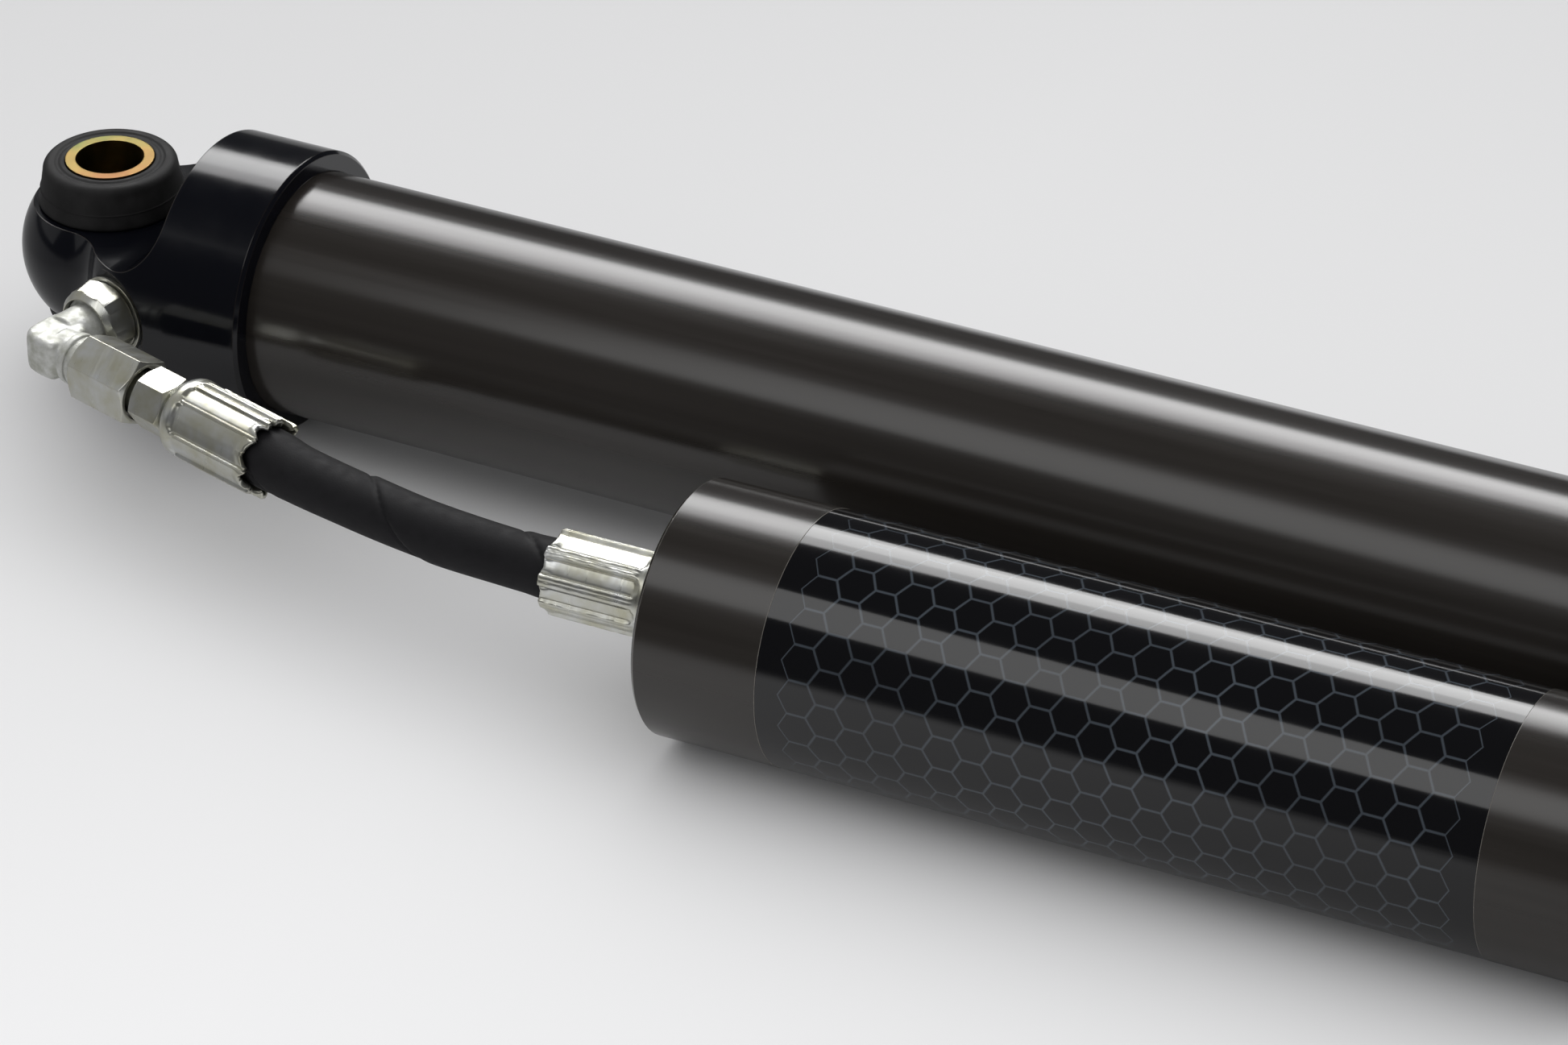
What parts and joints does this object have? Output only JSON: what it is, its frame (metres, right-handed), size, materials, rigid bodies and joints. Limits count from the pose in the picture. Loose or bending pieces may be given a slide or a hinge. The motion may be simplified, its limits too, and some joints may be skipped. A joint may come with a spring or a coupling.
{
  "type": "remote reservoir shock absorber",
  "caption": "Gas shock absorber with rubber-bushed eyes, a chromed rod and a cylindrical remote reservoir on a short crimped hose.",
  "frame": {"origin": "centre of the upper eye's bolt hole, on the axis of the body", "axes": "+X along the body and the rod, from the upper eye to the lower eye; +Z along the eyes' bolt holes; the reservoir lies on the -Y side"},
  "size_m": [0.7641, 0.1354, 0.0666],
  "materials": {
    "cap_black": "gloss black anodised, faintly blue",
    "tube_grey": "satin hard-anodised dark grey, faintly brown",
    "label_black": "gloss black film with thin grey honeycomb lines",
    "bush_rubber": "matt moulded rubber",
    "sleeve_zinc": "yellow-passivated zinc plate",
    "fitting_zinc": "bright zinc plate, faintly yellow-green",
    "hose_rubber": "matt black hose cover with a wrap seam",
    "seal_rubber": "smooth black nitrile rubber",
    "rod_chrome": "hard chrome, polished",
    "piston_metal": "plain machined aluminium",
    "band_bronze": "bronze-filled PTFE",
    "bushing_bronze": "sintered bronze liner",
    "plain_steel": "plain machined spring steel",
    "valve_brass": "turned brass",
    "valve_cap_plastic": "moulded black plastic"
  },
  "bodies": {
    "body": {"upper_eye_cap": "cap_black", "upper_bushes": "bush_rubber", "cap_o_ring": "seal_rubber", "body_tube": "tube_grey", "end_collar": "cap_black", "seal_head": "piston_metal", "head_o_ring": "seal_rubber", "rod_bushing": "bushing_bronze", "rod_seal": "seal_rubber", "rod_wiper": "seal_rubber", "port_o_ring": "seal_rubber", "port_washer": "fitting_zinc", "lock_nut": "fitting_zinc", "hose_elbow": "fitting_zinc", "swivel_nut": "fitting_zinc", "elbow_stem": "fitting_zinc", "elbow_ferrule": "fitting_zinc", "hydraulic_hose": "hose_rubber", "reservoir_ferrule": "fitting_zinc", "reservoir_stem": "fitting_zinc", "stem_o_ring": "seal_rubber", "reservoir_tube": "tube_grey", "reservoir_label": "label_black", "hose_end_cap": "cap_black", "valve_end_cap": "cap_black", "end_cap_o_rings": "seal_rubber", "snap_rings": "plain_steel", "gas_valve": "valve_brass", "valve_dust_cap": "valve_cap_plastic"},
    "rod_assembly": {"rod": "rod_chrome", "piston": "piston_metal", "piston_band": "band_bronze", "compression_shims": "plain_steel", "rebound_shims": "plain_steel", "piston_nut": "plain_steel", "top_out_spacer": "piston_metal", "bump_stop": "bush_rubber", "bump_washer": "plain_steel", "jam_nut": "plain_steel", "lower_eye": "cap_black", "lower_bushes": "bush_rubber"},
    "floating_piston": {"floating_piston": "piston_metal", "float_band": "band_bronze", "float_o_ring": "seal_rubber"},
    "upper_sleeve": {"upper_sleeve": "sleeve_zinc"},
    "lower_sleeve": {"lower_sleeve": "sleeve_zinc"}
  },
  "joints": [
    {"name": "rod_travel", "type": "slide", "parent": "body", "child": "rod_assembly", "axis": [1, 0, 0], "range_m": [-0.254, 0], "stiffness_N_per_m": 40, "springref_m": 0.03},
    {"name": "float_travel", "type": "slide", "parent": "body", "child": "floating_piston", "axis": [0.9999, 0.0131, 0], "range_m": [0, 0.025]},
    {"name": "upper_sleeve_twist", "type": "hinge", "parent": "body", "child": "upper_sleeve", "pos_m": [0, 0, 0], "axis": [0, 0, 1], "range_deg": [-15, 15], "stiffness_Nm_per_rad": 4},
    {"name": "lower_sleeve_twist", "type": "hinge", "parent": "rod_assembly", "child": "lower_sleeve", "pos_m": [0.7201, 0, 0], "axis": [0, 0, 1], "range_deg": [-15, 15], "stiffness_Nm_per_rad": 4}
  ],
  "couplings": [
    {"joint": "float_travel", "follows": "rod_travel", "ratio": -0.098}
  ]
}
